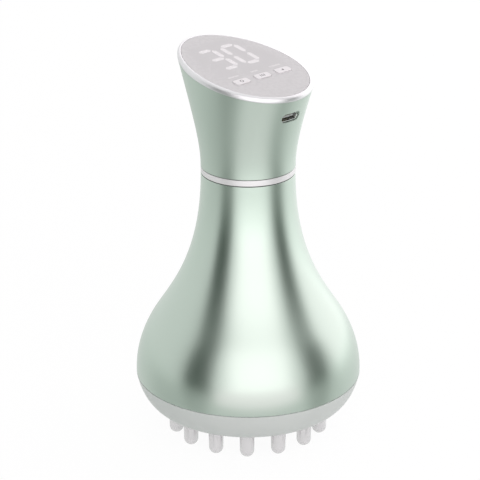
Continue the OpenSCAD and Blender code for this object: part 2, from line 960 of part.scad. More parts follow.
module pin(i) {
    ball_z = sqrt(pow(pin_tip_r, 2) - pow(pin_flat_r, 2));
    color(frosted) rotate(pin_angle(i)) translate([pin_ring_r, 0, 0]) {
        difference() {
            union() {
                translate([0, 0, ball_z]) sphere(pin_tip_r);
                translate([0, 0, ball_z])
                    cylinder(r1 = pin_tip_r, r2 = pin_root_r, h = floor_z - ball_z);
            }
            slab(-far, 0) circle(far);
        }
        slab(floor_z, floor_top) circle(pin_root_r);
        slab(floor_top, pin_head_top) circle(pin_head_r);
    }
}

// Wires

module motor_leads() {
    color("crimson") for (y = [-lead_y, lead_y])
        wire([
            [-lead_start_x, y, cap_top],
            [-lead_start_x, y, cap_top + lead_rise],
            [-lead_x, y, plate_z - lead_rise / 2],
            [-lead_x, y, board_under(y - lead_r) - fit]
        ]);
}

module battery_leads() {
    color("crimson") {
        wire([[cell_lead_x, cell_lead_y, cell_z],
              [cell_lead_x, cell_lead_y, board_under(cell_lead_y - lead_r) - fit]]);
        wire([[-cell_lead_x, cell_lead_y, deck_z],
              [-cell_lead_x, cell_lead_y, board_under(cell_lead_y - lead_r) - fit]]);
    }
}

module heater_leads() {
    start_x = warm_r - 2 * film_edge;
    color("gold") for (y = [-lead_y, lead_y])
        wire([
            [start_x, y, film_top],
            [start_x, y, film_top + lead_rise],
            [heater_lead_x, y, skirt_top - lead_rise],
            [heater_lead_x, y, cap_top],
            [lead_x, y, plate_z - lead_rise / 2],
            [lead_x, y, board_under(y - lead_r) - fit]
        ]);
}

body_shell();
head_shell();
neck_ring();
neck_gaskets();
neck_sleeve();
base_cover();
base_seal();
top_bezel();
top_panel();
digit_left();
digit_right();
indicator_bars();
key_left();
key_middle();
key_right();
key_switches();
display_block();
main_board();
board_screws();
usb_shell();
usb_tongue();
charge_board();
inner_frame();
frame_screws();
battery_cell();
battery_tabs();
motor_mount();
mount_screws();
motor_can();
motor_endcap();
motor_magnets();
motor_armature();
motor_bushes();
motor_screws();
motor_shaft();
eccentric_weight();
contact_plate();
heater_film();
pin_board();
base_screws();
motor_leads();
battery_leads();
heater_leads();
for (i = [1:pin_count]) pin(i);
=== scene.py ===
import json
import math

import bmesh
import bpy
from mathutils import Matrix, Vector


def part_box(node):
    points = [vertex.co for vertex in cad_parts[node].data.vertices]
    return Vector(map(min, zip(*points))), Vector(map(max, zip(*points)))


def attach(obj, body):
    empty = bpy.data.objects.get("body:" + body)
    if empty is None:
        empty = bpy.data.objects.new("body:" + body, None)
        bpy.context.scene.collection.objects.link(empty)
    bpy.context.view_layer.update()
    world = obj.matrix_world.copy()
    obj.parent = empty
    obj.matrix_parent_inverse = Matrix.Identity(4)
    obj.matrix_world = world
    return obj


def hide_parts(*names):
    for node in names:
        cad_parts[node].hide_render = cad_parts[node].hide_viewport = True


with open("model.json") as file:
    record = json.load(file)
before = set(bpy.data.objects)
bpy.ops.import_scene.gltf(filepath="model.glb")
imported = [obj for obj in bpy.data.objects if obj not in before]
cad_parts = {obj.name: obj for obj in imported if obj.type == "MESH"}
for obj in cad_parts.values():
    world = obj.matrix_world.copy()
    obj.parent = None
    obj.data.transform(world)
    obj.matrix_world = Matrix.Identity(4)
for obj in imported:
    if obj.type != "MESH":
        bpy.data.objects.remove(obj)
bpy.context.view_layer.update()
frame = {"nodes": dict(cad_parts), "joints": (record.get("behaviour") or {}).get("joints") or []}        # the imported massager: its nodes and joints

nodes = frame["nodes"]
mm = 0.001


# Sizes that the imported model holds

def low(node):
    """The lowest corner of a node's box."""
    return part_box(node)[0]


def high(node):
    """The highest corner of a node's box."""
    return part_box(node)[1]


def middle(node):
    """The middle of a node's box."""
    return (low(node) + high(node)) / 2


floor_z = low("base_cover").z
skirt_top = high("base_cover").z
belly_r = high("base_cover").x
dish_top = low("base_seal").z
seam_z = high("base_seal").z
bell_top = high("body_shell").z
neck_r = high("neck_ring").x
head_z = low("head_shell").z
inlet = middle("usb_shell")
panel_normal = -Vector(frame["joints"][0]["axis"])
slope = math.atan2(-panel_normal.y, panel_normal.z)

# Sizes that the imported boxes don't give, as in the part's source

wall = 2 * mm
wall_gap = 0.3 * mm
fit = 0.1 * mm
hair = 0.002 * mm
dish_wall = 2.2 * mm
tongue_t = 0.7 * mm
dish_floor_r = belly_r - 8.1 * mm
skirt_r = belly_r - wall - wall_gap
skirt_t = 1.75 * mm
shoulder = Vector((39.2 * mm, seam_z + 23.9 * mm))
shoulder_lean = math.radians(31)
belly_lean = math.radians(1.7)
flare = 0.29
flare_bend = 14.5 * mm
oval = 0.13
oval_h = 44 * mm
panel_z = head_z + 39.9 * mm
rim_h = 2 * mm
rim_round = 1.6 * mm
rim_land = 0.3 * mm
rim_ledge = 2 * mm
spigot_h = 1.6 * mm
spigot_t = 1 * mm
panel_t = 1.3 * mm
board_deep = 6.3 * mm
window_t = 0.5 * mm
screw_r = 1.05 * mm
screw_head_r = 2.5 * mm
stay_ring = 22 * mm
sides = 192


# Outlines, as points of radius and height

def points(*pairs):
    """Points of radius and height."""
    return [Vector(pair) for pair in pairs]


def cubic(controls, steps):
    """Points along the cubic curve that has these four controls."""
    a, b, c, d = controls
    curve = []
    for step in range(steps + 1):
        t = step / steps
        s = 1 - t
        curve.append(s ** 3 * a + 3 * s * s * t * b + 3 * s * t * t * c + t ** 3 * d)
    return curve


def moved_left(outline, distance):
    """The outline moved sideways, to the left of its direction."""
    moved = []
    for place, point in enumerate(outline):
        before = outline[max(place - 1, 0)]
        after = outline[min(place + 1, len(outline) - 1)]
        along = (after - before).normalized()
        moved.append(point + distance * Vector((-along.y, along.x)))
    return moved


def bell_outline():
    """The bell's outside: an S from the seam up to the neck, fuller at the belly."""
    lift = shoulder.y - seam_z
    drop = bell_top - shoulder.y
    lean = Vector((-math.sin(shoulder_lean), math.cos(shoulder_lean)))
    foot = Vector((belly_r, seam_z))
    foot_pull = 0.363 * lift * Vector((math.sin(belly_lean), math.cos(belly_lean)))
    belly_pull = 0.341 * lift
    shoulder_pull = 0.195 * drop
    neck_pull = 0.587 * drop
    belly = [foot, foot + foot_pull, shoulder - belly_pull * lean, shoulder]
    waist = [
        shoulder,
        shoulder + shoulder_pull * lean,
        Vector((neck_r, bell_top - neck_pull)),
        Vector((neck_r, bell_top)),
    ]
    return cubic(belly, 20) + cubic(waist, 40)[1:]


def dish_side():
    """The dish's side, from its upper edge down to the flat."""
    depth = seam_z - floor_z
    return cubic(points(
        (belly_r, dish_top),
        (belly_r - 0.16 * depth, dish_top - 0.8 * depth),
        (dish_floor_r + 0.064 * depth, floor_z),
        (dish_floor_r, floor_z)), 24)


# The head's side, which flares upwards from a round neck to an oval rim

def head_radius(z):
    """The mean radius of the head's side at a height."""
    rise = max(0, z - head_z)
    return neck_r + flare * (math.hypot(rise, flare_bend) - flare_bend)


def ovalness(z):
    """How far the side departs from round at a height, as a share of its radius."""
    return oval * (max(0, z - head_z) / oval_h) ** 2


def half_width(z):
    """Half the head's size from left to right at a height."""
    return head_radius(z) * (1 - ovalness(z))


def half_length(z):
    """Half the head's size from front to back at a height."""
    return head_radius(z) * (1 + ovalness(z))


def head_point(turn, z, inward=0):
    """A point of the head's side at this turn about the axis and this height."""
    return Vector((
        (half_width(z) - inward) * math.cos(turn),
        (half_length(z) - inward) * math.sin(turn),
        z,
    ))


def plane_height(turn, depth, inward=0):
    """Where the head's side meets the plane at a depth below the panel's face."""
    level = panel_z - depth / math.cos(slope)
    rounds = 9
    z = level
    for _ in range(rounds):
        z = level + math.tan(slope) * (half_length(z) - inward) * math.sin(turn)
    return z


def on_plane(depth, inward=0):
    """The row of points where the head's side meets that plane."""
    return lambda turn: head_point(turn, plane_height(turn, depth, inward), inward)


def up_the_head(share, inward=0):
    """The row at this share of the way from the neck up to the rim."""
    def place(turn):
        top = plane_height(turn, rim_h, inward)
        return head_point(turn, head_z + share * (top - head_z), inward)
    return place


def sunk(row, depth):
    """A row pushed down square to the panel."""
    return lambda turn: row(turn) - depth * panel_normal


# Modelling

def begin(name, add, place=(0, 0, 0), **sizes):
    """Adds a primitive with nothing else selected, and opens it for editing."""
    bpy.ops.object.select_all(action="DESELECT")
    add(location=place, **sizes)
    piece = bpy.context.object
    piece.name = name
    piece.data.name = name
    bpy.ops.object.transform_apply(location=True, rotation=True, scale=True)
    bpy.ops.object.mode_set(mode="EDIT")
    return piece


def ring(name, radius, z, count=sides):
    """A circle of points about the axis, open for editing."""
    return begin(name, bpy.ops.mesh.primitive_circle_add, (0, 0, z), vertices=count, radius=radius)


def block(name, size, place=(0, 0, 0)):
    """A block, open for editing."""
    return begin(name, bpy.ops.mesh.primitive_cube_add, place, size=1, scale=size)


def rod(name, radius, foot, top, place=(0, 0), count=48):
    """A round rod along Z, closed at both ends, out of edit mode."""
    where = (place[0], place[1], (foot + top) / 2)
    piece = begin(name, bpy.ops.mesh.primitive_cylinder_add, where,
                  vertices=count, radius=radius, depth=top - foot)
    bpy.ops.object.mode_set(mode="OBJECT")
    return piece


def raise_rings(outline):
    """Extrudes the selected ring along an outline of radius and height."""
    for here, there in zip(outline, outline[1:]):
        bpy.ops.mesh.extrude_edges_move(
            TRANSFORM_OT_translate={"value": (0, 0, there.y - here.y)})
        size = there.x / here.x
        bpy.ops.transform.resize(value=(size, size, 1), center_override=(0, 0, there.y))


def mark_turns(piece):
    """Notes each point's turn about the axis, which extruded copies keep."""
    mesh = bmesh.from_edit_mesh(piece.data)
    turns = mesh.verts.layers.float.new("turn")
    for point in mesh.verts:
        point[turns] = math.atan2(point.co.y, point.co.x)
    bmesh.update_edit_mesh(piece.data)


def settle_row(piece, place):
    """Moves each selected point to where the row has it."""
    mesh = bmesh.from_edit_mesh(piece.data)
    turns = mesh.verts.layers.float["turn"]
    for point in mesh.verts:
        if point.select:
            point.co = place(point[turns])
    bmesh.update_edit_mesh(piece.data)


def raise_rows(piece, rows):
    """Extrudes the selected ring through rows that needn't be round."""
    settle_row(piece, rows[0])
    for row in rows[1:]:
        bpy.ops.mesh.extrude_edges_move()
        settle_row(piece, row)


def close_up(piece):
    """Merges doubles, turns faces outwards and leaves edit mode."""
    bpy.ops.mesh.select_all(action="SELECT")
    bpy.ops.mesh.remove_doubles(threshold=0.001 * mm)
    bpy.ops.mesh.normals_make_consistent(inside=False)
    bpy.ops.object.mode_set(mode="OBJECT")
    turns = piece.data.attributes.get("turn")
    if turns:
        piece.data.attributes.remove(turns)
    return piece


def turned(name, outline):
    """A hollow solid turned about the axis from an outline that goes once round."""
    piece = ring(name, outline[0].x, outline[0].y)
    raise_rings([*outline, outline[0]])
    return close_up(piece)


def lathe(name, outline, count=sides):
    """A solid turned from an outline, closed flat at its first and last point."""
    piece = ring(name, outline[0].x, outline[0].y, count)
    bpy.ops.mesh.edge_face_add()
    bpy.ops.mesh.select_all(action="SELECT")
    raise_rings(outline)
    bpy.ops.mesh.edge_face_add()
    return close_up(piece)


def choose_edges(piece, test):
    """Selects the edges whose two ends pass the test."""
    bpy.ops.mesh.select_mode(type="EDGE")
    mesh = bmesh.from_edit_mesh(piece.data)
    for edge in mesh.edges:
        edge.select_set(False)
    for edge in mesh.edges:
        if test(edge.verts[0].co, edge.verts[1].co):
            edge.select_set(True)
    bmesh.update_edit_mesh(piece.data)


def only(*pieces):
    """Selects these pieces and nothing else, the first one active."""
    bpy.ops.object.select_all(action="DESELECT")
    for piece in pieces:
        piece.select_set(True)
    bpy.context.view_layer.objects.active = pieces[0]


def apply(piece, kind, **settings):
    """Adds a modifier and applies it."""
    only(piece)
    modifier = piece.modifiers.new(kind.lower(), kind)
    for name, value in settings.items():
        setattr(modifier, name, value)
    bpy.ops.object.modifier_apply(modifier=modifier.name)


def round_edges(piece, width, steps=3, sharper=35):
    """Rounds every edge that is sharper than the angle, in degrees."""
    apply(piece, "BEVEL", width=width, segments=steps, limit_method="ANGLE",
          angle_limit=math.radians(sharper), use_clamp_overlap=True)


def clear_slivers(piece, reach=0.001 * mm):
    """Merges points closer than the reach and drops faces with no area."""
    only(piece)
    bpy.ops.object.mode_set(mode="EDIT")
    bpy.ops.mesh.select_all(action="SELECT")
    bpy.ops.mesh.remove_doubles(threshold=reach)
    bpy.ops.mesh.dissolve_degenerate(threshold=reach)
    bpy.ops.object.mode_set(mode="OBJECT")
    return piece


def smooth(piece, angle=40):
    """Smooth shading, with large faces keeping their own direction."""
    only(piece)
    bpy.ops.object.shade_smooth_by_angle(angle=math.radians(angle))
    apply(piece, "WEIGHTED_NORMAL", keep_sharp=True)
    return piece


def join(pieces):
    """Joins pieces into the first of them."""
    only(*pieces)
    bpy.ops.object.join()
    return pieces[0]


def combine(piece, operation, tools):
    """Works the tools' shapes into the piece, and drops the tools."""
    tool = join(tools)
    apply(piece, "BOOLEAN", operation=operation, solver="EXACT", object=tool)
    bpy.data.objects.remove(tool)
    return piece


def cut(piece, *tools):
    """Takes the tools' shapes out of the piece."""
    return combine(piece, "DIFFERENCE", tools)


def add(piece, *tools):
    """Joins the tools' shapes to the piece as one solid."""
    return combine(piece, "UNION", tools)


def copy(piece, name, shift=(0, 0, 0)):
    """A copy with its own mesh, moved."""
    other = piece.copy()
    other.data = piece.data.copy()
    other.name = name
    other.data.name = name
    other.data.transform(Matrix.Translation(shift))
    bpy.context.collection.objects.link(other)
    return other


def around(count, radius, start):
    """Places round a circle, from the start angle in degrees."""
    places = []
    for step in range(count):
        turn = math.radians(start + 360 * step / count)
        places.append((radius * math.cos(turn), radius * math.sin(turn)))
    return places


def lay_on_slope(piece, x, up, turn=0):
    """Lays a piece that was modelled flat on the panel's plane."""
    spot = Matrix.Translation((x, up, 0)) @ Matrix.Rotation(turn, 4, "Z")
    tilt = Matrix.Translation((0, 0, panel_z)) @ Matrix.Rotation(slope, 4, "X")
    piece.data.transform(tilt @ spot)
    return piece


def plate(name, width, length, radius, foot, top, steps=6):
    """A flat block with its upright edges rounded, out of edit mode."""
    piece = block(name, (width, length, top - foot), (0, 0, (foot + top) / 2))
    choose_edges(piece, lambda a, b: (a - b).xy.length < fit)
    bpy.ops.mesh.bevel(offset=radius, segments=steps, affect="EDGES")
    return close_up(piece)


# Shells

def bosses(places, radius, foot, height):
    """Round posts inside the bell, each with a hole for its screw."""
    posts = join([rod("boss", radius, foot, foot + height, place) for place in places])
    holes = [rod("hole", screw_r + fit / 2, foot - wall, foot + height - wall, place)
             for place in places]
    return cut(posts, *holes)


def bell():
    """The bell-shaped body, with the bosses for its screws inside."""
    piece = ring("bell", belly_r, seam_z)
    raise_rings(bell_outline())
    close_up(piece)
    apply(piece, "SOLIDIFY", thickness=wall, offset=-1, use_even_offset=True)
    round_edges(piece, 0.2 * mm)
    mount_ring = (high("mount_screws").x - screw_head_r) / math.cos(math.radians(45))
    frame_ring = (high("frame_screws").x - screw_head_r) / math.cos(math.radians(30))
    mount_foot = high("motor_mount").z
    frame_foot = low("inner_frame").z + 2.4 * mm
    posts = join([
        bosses(around(4, mount_ring, 45), 3 * mm, mount_foot, 24 * mm),
        bosses(around(3, frame_ring, 30), 2.8 * mm, frame_foot, 10 * mm),
    ])
    axis_r = 0.1 * mm
    mid_wall = moved_left(bell_outline(), wall / 2)
    inside = points((axis_r, seam_z)) + mid_wall + points((axis_r, bell_top))
    combine(posts, "INTERSECT", [lathe("core", inside)])
    return smooth(clear_slivers(add(piece, posts)))


def face_front(piece, x=0):
    """Turns a flat piece upright at the inlet, with its top towards the front."""
    to_inlet = Matrix.Translation((inlet.x + x, 0, inlet.z))
    piece.data.transform(to_inlet @ Matrix.Rotation(math.radians(90), 4, "X"))
    return piece


def inlet_slot(name, width, height, front, back):
    """A long block with round sides, lying from front to back at the inlet."""
    end_r = height / 2 - hair
    return face_front(plate(name, width, height, end_r, -back, -front, 12))


def head():
    """The flared upper shell, cut off along the slope, with the inlet's slot."""
    steps = 28
    gap = 0.15 * mm
    lip = 0.3 * mm
    lip_deep = 0.45 * mm
    size = high("usb_shell") - low("usb_shell")
    front = -half_length(inlet.z)
    shares = [step / steps for step in range(steps + 1)]
    piece = ring("head", neck_r, head_z)
    mark_turns(piece)
    upwards = [up_the_head(share) for share in shares]
    downwards = [up_the_head(share, wall) for share in reversed(shares)]
    raise_rows(piece, [*upwards, *downwards, upwards[0]])
    close_up(piece)
    width = size.x + 2 * gap
    height = size.z + 2 * gap
    outside = front - wall
    cut(piece, inlet_slot("slot", width, height, outside, front + 3 * wall))
    width += 2 * lip
    height += 2 * lip
    cut(piece, inlet_slot("recess", width, height, outside, front + lip_deep))
    round_edges(piece, 0.12 * mm, 2, 50)
    return smooth(piece)


def inlet_shell():
    """The inlet's metal shell, open to the front, with a rolled lip."""
    thick = 0.3 * mm
    size = high("usb_shell") - low("usb_shell")
    front = low("usb_shell").y
    back = high("usb_shell").y
    piece = inlet_slot("inlet_shell", size.x, size.z, front, back)
    width = size.x - 2 * thick
    height = size.z - 2 * thick
    cut(piece, inlet_slot("mouth", width, height, front - thick, back - thick))
    round_edges(piece, 0.1 * mm, 3)
    return smooth(clear_slivers(piece))


def inlet_tongue():
    """The tongue in the middle of the inlet, on the plug that closes its back."""
    plug = 1.6 * mm
    tongue_w = 6.7 * mm
    size = high("usb_tongue") - low("usb_tongue")
    front = low("usb_tongue").y
    back = high("usb_tongue").y
    piece = inlet_slot("inlet_tongue", size.x, size.z, back - plug, back)
    add(piece, face_front(plate("blade", tongue_w, tongue_t, 0.3 * mm, fit - back, -front)))
    round_edges(piece, 0.06 * mm, 2)
    return smooth(piece)


def inlet_contacts():
    """Twelve contact strips on each face of the tongue."""
    count = 12
    pitch = 0.5 * mm
    strip_w = 0.27 * mm
    long = 3.6 * mm
    front = low("usb_tongue").y + 0.4 * mm
    proud = tongue_t / 2 + fit / 2
    strip = plate("inlet_contacts", strip_w, 2 * proud, fit / 2, -front - long, -front, 2)
    strips = []
    for place in range(count):
        across = (place - (count - 1) / 2) * pitch
        strips.append(face_front(copy(strip, "contact"), across))
    bpy.data.objects.remove(strip)
    piece = join(strips)
    piece.name = "inlet_contacts"
    return smooth(piece)


def rim():
    """The silver rim: rounded outside, with a ledge for the panel and a spigot."""
    steps = 8
    inner = wall + 1.5 * fit
    pocket = on_plane(0, rim_round + rim_land)
    opening = on_plane(0, rim_round + rim_land + rim_ledge)
    spigot = rim_h + spigot_h
    rows = [on_plane(rim_h, inner), on_plane(rim_h)]
    for step in range(1, steps + 1):
        turn = math.radians(90 * step / steps)
        rows.append(on_plane(rim_h * (1 - math.sin(turn)), rim_round * (1 - math.cos(turn))))
    rows += [
        pocket,
        sunk(pocket, panel_t),
        sunk(opening, panel_t),
        on_plane(spigot, inner + spigot_t),
        on_plane(spigot, inner),
        rows[0],
    ]
    piece = ring("rim", neck_r, head_z)
    mark_turns(piece)
    raise_rows(piece, rows)
    close_up(piece)
    round_edges(piece, 0.08 * mm, 2)
    return smooth(piece)


def dish():
    """The pale dish, with holes for the pins, the warm plate and the screws."""
    side = dish_side()
    skirt_in = skirt_r - skirt_t
    floor_top = floor_z + dish_wall
    hole_r = 13.1 * mm
    stay_r = 3.2 * mm
    bore_r = 3 * mm
    drill_r = screw_r + 2 * fit
    sink_r = 2.8 * mm
    sink_top = floor_z + 1.4 * mm
    edge = 0.15 * mm
    deck = high("contact_plate").z
    inside = []
    for point in reversed(moved_left(side, -dish_wall)):
        if point.x > dish_floor_r:
            inside.append(Vector((min(point.x, skirt_in), min(point.y, dish_top))))
    outline = side + points((hole_r, floor_z), (hole_r, floor_top), (dish_floor_r, floor_top))
    outline += inside
    outline += points((skirt_in, skirt_top), (skirt_r, skirt_top), (skirt_r, dish_top))
    piece = turned("dish", outline)
    stays = around(3, stay_ring, 90)
    add(piece, *[rod("stay", stay_r, floor_top - fit, deck, place) for place in stays])
    cut(piece, *[rod("bore", bore_r, 0, dish_top, middle(pin).xy) for pin in pin_names])
    drill = lathe("drill", points(
        (sink_r + 2 * edge, floor_z - edge), (sink_r, floor_z + edge),
        (sink_r, sink_top), (drill_r, sink_top),
        (drill_r, deck - edge), (drill_r + 2 * edge, deck + edge)), 48)
    drills = [copy(drill, "drill", (*place, 0)) for place in stays]
    bpy.data.objects.remove(drill)
    cut(piece, *drills)
    return smooth(clear_slivers(piece))


def neck_band():
    """The silver band, with softly rounded edges."""
    foot = low("neck_ring").z
    top = high("neck_ring").z
    inner = neck_r - wall
    piece = turned("neck_band", points((neck_r, foot), (neck_r, top), (inner, top), (inner, foot)))
    round_edges(piece, 0.25 * mm, 4)
    return smooth(piece)


# Control panel

key_w = 7.4 * mm
key_l = 3.4 * mm
key_round = 1 * mm
key_gap = 0.15 * mm
key_proud = 0.35 * mm
key_up = -8.16 * mm
key_names = ("left", "middle", "right")
mark_deep = fit / 2
segment_w = 2.2 * mm
segment_gap = 0.45 * mm
figure_w = 9.4 * mm
figure_h = 18 * mm
figure_side = 5.85 * mm
figures = {"digit_left": "abgcd", "digit_right": "abcdef"}
light_bar_w = 1 * mm
light_bar_up = -3.46 * mm
post_r = 1.7 * mm
post_hole_r = 0.95 * mm

# The light bars' places across and lengths, and the posts' places across and up, in mm

light_bars = ((-11, 5.6), (0, 3.8), (11, 5.8))
panel_posts = ((-15.81, -1), (15.81, -1), (0, 22.74), (0, -17.46))


def pointed_bar(length):
    """A segment of a figure: a bar with pointed ends."""
    long = length - 2 * segment_gap
    tip = segment_w / 2 - hair
    return plate("segment", long, segment_w, tip, -window_t, window_t, 1)


def figure_windows(segments, x, up):
    """Cutters for a seven-segment figure, whose segments go by their usual letters."""
    reach = figure_h / 2 - segment_w / 2
    side = figure_w / 2 - segment_w / 2
    places = {
        "a": (0, reach, 0), "b": (side, reach / 2, 90), "c": (side, -reach / 2, 90),
        "d": (0, -reach, 0), "e": (-side, -reach / 2, 90), "f": (-side, reach / 2, 90),
        "g": (0, 0, 0),
    }
    cutters = []
    for letter in segments:
        across, rise, turn = places[letter]
        cutter = pointed_bar(reach if turn else 2 * side)
        cutters.append(lay_on_slope(cutter, x + across, up + rise, math.radians(turn)))
    return cutters


def panel():
    """The flat panel, with its windows, its posts and the openings for the keys."""
    outline = on_plane(0, rim_round + rim_land + fit)
    piece = ring("panel", neck_r, head_z)
    mark_turns(piece)
    settle_row(piece, outline)
    bpy.ops.mesh.edge_face_add()
    bpy.ops.mesh.extrude_region_move()
    settle_row(piece, sunk(outline, panel_t))
    close_up(piece)
    window_drop = window_t * math.sin(slope)
    windows = []
    up = (low("digit_right").y + high("digit_right").y - window_drop) / 2 / math.cos(slope)
    for node, segments in figures.items():
        across = math.copysign(figure_side, middle(node).x)
        windows += figure_windows(segments, across, up)
    for across, length in light_bars:
        bar = plate("bar", length * mm, light_bar_w, fit, -window_t, window_t, 1)
        windows.append(lay_on_slope(bar, across * mm, light_bar_up))
    cut(piece, *windows)
    openings = []
    for name in key_names:
        opening = plate("opening", key_w + 2 * key_gap, key_l + 2 * key_gap,
                        key_round + key_gap, -2 * panel_t, panel_t)
        openings.append(lay_on_slope(opening, middle("key_" + name).x, key_up))
    cut(piece, *openings)
    posts = []
    holes = []
    for across, up in panel_posts:
        post = rod("post", post_r, -board_deep, fit - panel_t)
        hole = rod("hole", post_hole_r, -board_deep - wall, -panel_t - wall)
        posts.append(lay_on_slope(post, across * mm, up * mm))
        holes.append(lay_on_slope(hole, across * mm, up * mm))
    add(piece, *posts)
    cut(piece, *holes)
    return smooth(piece)


def key_mark(name, foot, top):
    """Plain marks for the keys: a ring on the left, three bars, and a spot."""
    if name == "left":
        hoop = rod("mark", 0.85 * mm, foot, top)
        return [cut(hoop, rod("core", 0.55 * mm, 0, 2 * top))]
    if name == "middle":
        bars = []
        for across in (-0.9, 0, 0.9):
            bar = plate("mark", 0.35 * mm, 1.5 * mm, fit, foot, top, 2)
            bar.data.transform(Matrix.Translation((across * mm, 0, 0)))
            bars.append(bar)
        return bars
    return [rod("mark", 0.5 * mm, foot, top)]


def key(name):
    """A key: its cap, the flange that holds it under the panel, and its stem."""
    under = -panel_t - fit / 2
    flange = under - 0.75 * mm
    edge = 1.2 * mm
    stem_r = 1.1 * mm
    stem_end = -5.6 * mm
    piece = plate("key_cap_" + name, key_w, key_l, key_round, under - fit, key_proud)
    round_edges(piece, 0.12 * mm, 3)
    add(piece, plate("flange", key_w + edge, key_l + edge, key_round, flange, under))
    add(piece, rod("stem", stem_r, stem_end, flange + fit))
    cut(piece, *key_mark(name, key_proud - mark_deep, 2 * key_proud))
    across = middle("key_" + name).x
    return smooth(lay_on_slope(piece, across, key_up))


def key_inlay(name):
    """The inlay that fills a key's mark."""
    piece = join(key_mark(name, key_proud - mark_deep, key_proud + fit / 10))
    piece.name = "mark_" + name
    across = middle("key_" + name).x
    return smooth(lay_on_slope(piece, across, key_up))


# Underside

pin_names = sorted(name for name in nodes if name.startswith("pin_") and name[4:].isdigit())


def pin_form():
    """One round-ended pin about the axis, with its head inside the dish."""
    tip_r = 2.9 * mm
    flat_r = 0.7 * mm
    root_r = 3.1 * mm
    head_r = 3.9 * mm
    head_round = 0.2 * mm
    top = high("pin_01").z
    ball_z = math.sqrt(tip_r ** 2 - flat_r ** 2)
    steps = 14
    start = math.asin(flat_r / tip_r)
    outline = []
    for step in range(steps + 1):
        turn = start + (math.pi / 2 - start) * step / steps
        outline.append(Vector((tip_r * math.sin(turn), ball_z - tip_r * math.cos(turn))))
    outline += points(
        (root_r, floor_z), (root_r, floor_z + dish_wall), (head_r, floor_z + dish_wall),
        (head_r, top - head_round), (head_r - head_round, top))
    return smooth(lathe("pin_form", outline, 48), 50)


def pins():
    """The pins, copied from one form to their places in the ring."""
    form = pin_form()
    made = []
    for name in pin_names:
        place = middle(name)
        made.append((copy(form, "massage_" + name, (place.x, place.y, 0)), name))
    bpy.data.objects.remove(form)
    return made


def warm_plate():
    """The metal disc in the middle of the underside, with a turned groove."""
    plate_r = 13 * mm
    edge = 0.5 * mm
    hollow = 0.08 * mm
    groove_r = 8 * mm
    groove_w = 0.6 * mm
    groove_deep = 0.25 * mm
    slant = 0.2 * mm
    steps = 5
    foot = low("contact_plate").z
    flange = floor_z + dish_wall
    outline = points(
        (0.3 * mm, foot + hollow), (groove_r - slant, foot), (groove_r, foot + groove_deep),
        (groove_r + groove_w, foot + groove_deep), (groove_r + groove_w + slant, foot),
        (plate_r - edge, foot))
    for step in range(1, steps + 1):
        turn = math.radians(90 * step / steps)
        outline.append(Vector((
            plate_r - edge * (1 - math.sin(turn)), foot + edge * (1 - math.cos(turn)))))
    outline += points(
        (plate_r, flange), (high("contact_plate").x, flange),
        (high("contact_plate").x, high("contact_plate").z))
    return smooth(lathe("warm_plate", outline), 25)


def dish_screws():
    """The dish's screws, each with a cross recess."""
    foot = low("base_screws").z
    head_top = foot + 1.3 * mm
    tip = high("base_screws").z
    outline = points(
        (screw_head_r - 0.45 * mm, foot), (screw_head_r - 0.1 * mm, foot + 0.15 * mm),
        (screw_head_r, foot + 0.45 * mm), (screw_head_r, head_top), (screw_r, head_top))
    turns = 11
    pitch = 0.78 * mm
    root_r = screw_r - fit
    for step in range(turns):
        z = head_top + 0.9 * mm + step * pitch
        outline += points((root_r, z), (screw_r, z + pitch / 3), (root_r, z + 2 * pitch / 3))
    outline += points((screw_r - 2 * fit, tip - 0.2 * mm), (0.5 * mm, tip))
    form = lathe("screw_form", outline, 40)
    arm = 2.9 * mm
    arm_w = 0.62 * mm
    arm_top = foot + 0.85 * mm
    cross = [plate("slot", arm, arm_w, fit, foot - wall, arm_top, 2),
             plate("slot", arm_w, arm, fit, foot - wall, arm_top, 2)]
    cut(form, add(*cross))
    screws = [copy(form, "screw", (*place, 0)) for place in around(3, stay_ring, 90)]
    bpy.data.objects.remove(form)
    piece = join(screws)
    piece.name = "dish_screws"
    return smooth(piece, 50)


# Finishes

def socket_name(name):
    """A setting's name as the shader writes it, such as Specular IOR Level."""
    return name.replace("_", " ").title().replace("Ior", "IOR")


class Value:
    """A socket that carries a number. Arithmetic on it adds Math nodes."""

    def __init__(self, finish, socket):
        self.finish = finish
        self.socket = socket

    def math(self, operation, *values):
        """The result of a Math node on these values."""
        return self.finish.node("Math", {"operation": operation}, dict(enumerate(values)))

    def __add__(self, other):
        return self.math("ADD", self, other)

    def __radd__(self, other):
        return self.math("ADD", other, self)

    def __sub__(self, other):
        return self.math("SUBTRACT", self, other)

    def __rsub__(self, other):
        return self.math("SUBTRACT", other, self)

    def __mul__(self, other):
        return self.math("MULTIPLY", self, other)

    def __rmul__(self, other):
        return self.math("MULTIPLY", other, self)

    def __truediv__(self, other):
        return self.math("DIVIDE", self, other)


